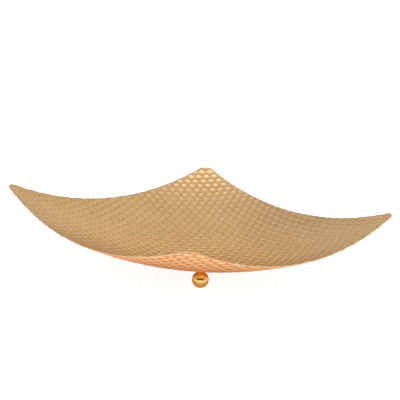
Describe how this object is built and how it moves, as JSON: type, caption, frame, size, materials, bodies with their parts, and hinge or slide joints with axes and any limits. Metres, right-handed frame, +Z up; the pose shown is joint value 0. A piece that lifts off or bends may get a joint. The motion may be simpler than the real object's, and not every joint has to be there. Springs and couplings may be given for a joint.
{
  "type": "footed square tray",
  "caption": "Square dished tray of dimpled brass sheet with upswept, trimmed corners, raised on small polished ball feet.",
  "frame": {"origin": "on the standing surface, under the middle of the dish", "axes": "+Z up; the tray's sides run along X and Y"},
  "size_m": [0.3132, 0.3132, 0.0723],
  "materials": {
    "sheet_brass": "satin brass, pressed all over with a honeycomb of shallow dimples",
    "ball_brass": "polished brass",
    "stud_brass": "plain drawn brass, hidden inside the ball",
    "braze_filler": "smooth filler, flowed and buffed"
  },
  "bodies": {
    "root": {"tray_sheet": "sheet_brass", "foot_ball_front_left": "ball_brass", "foot_stud_front_left": "stud_brass", "foot_braze_front_left": "braze_filler", "foot_ball_front_right": "ball_brass", "foot_stud_front_right": "stud_brass", "foot_braze_front_right": "braze_filler", "foot_ball_back_right": "ball_brass", "foot_stud_back_right": "stud_brass", "foot_braze_back_right": "braze_filler", "foot_ball_back_left": "ball_brass", "foot_stud_back_left": "stud_brass", "foot_braze_back_left": "braze_filler"}
  },
  "joints": []
}
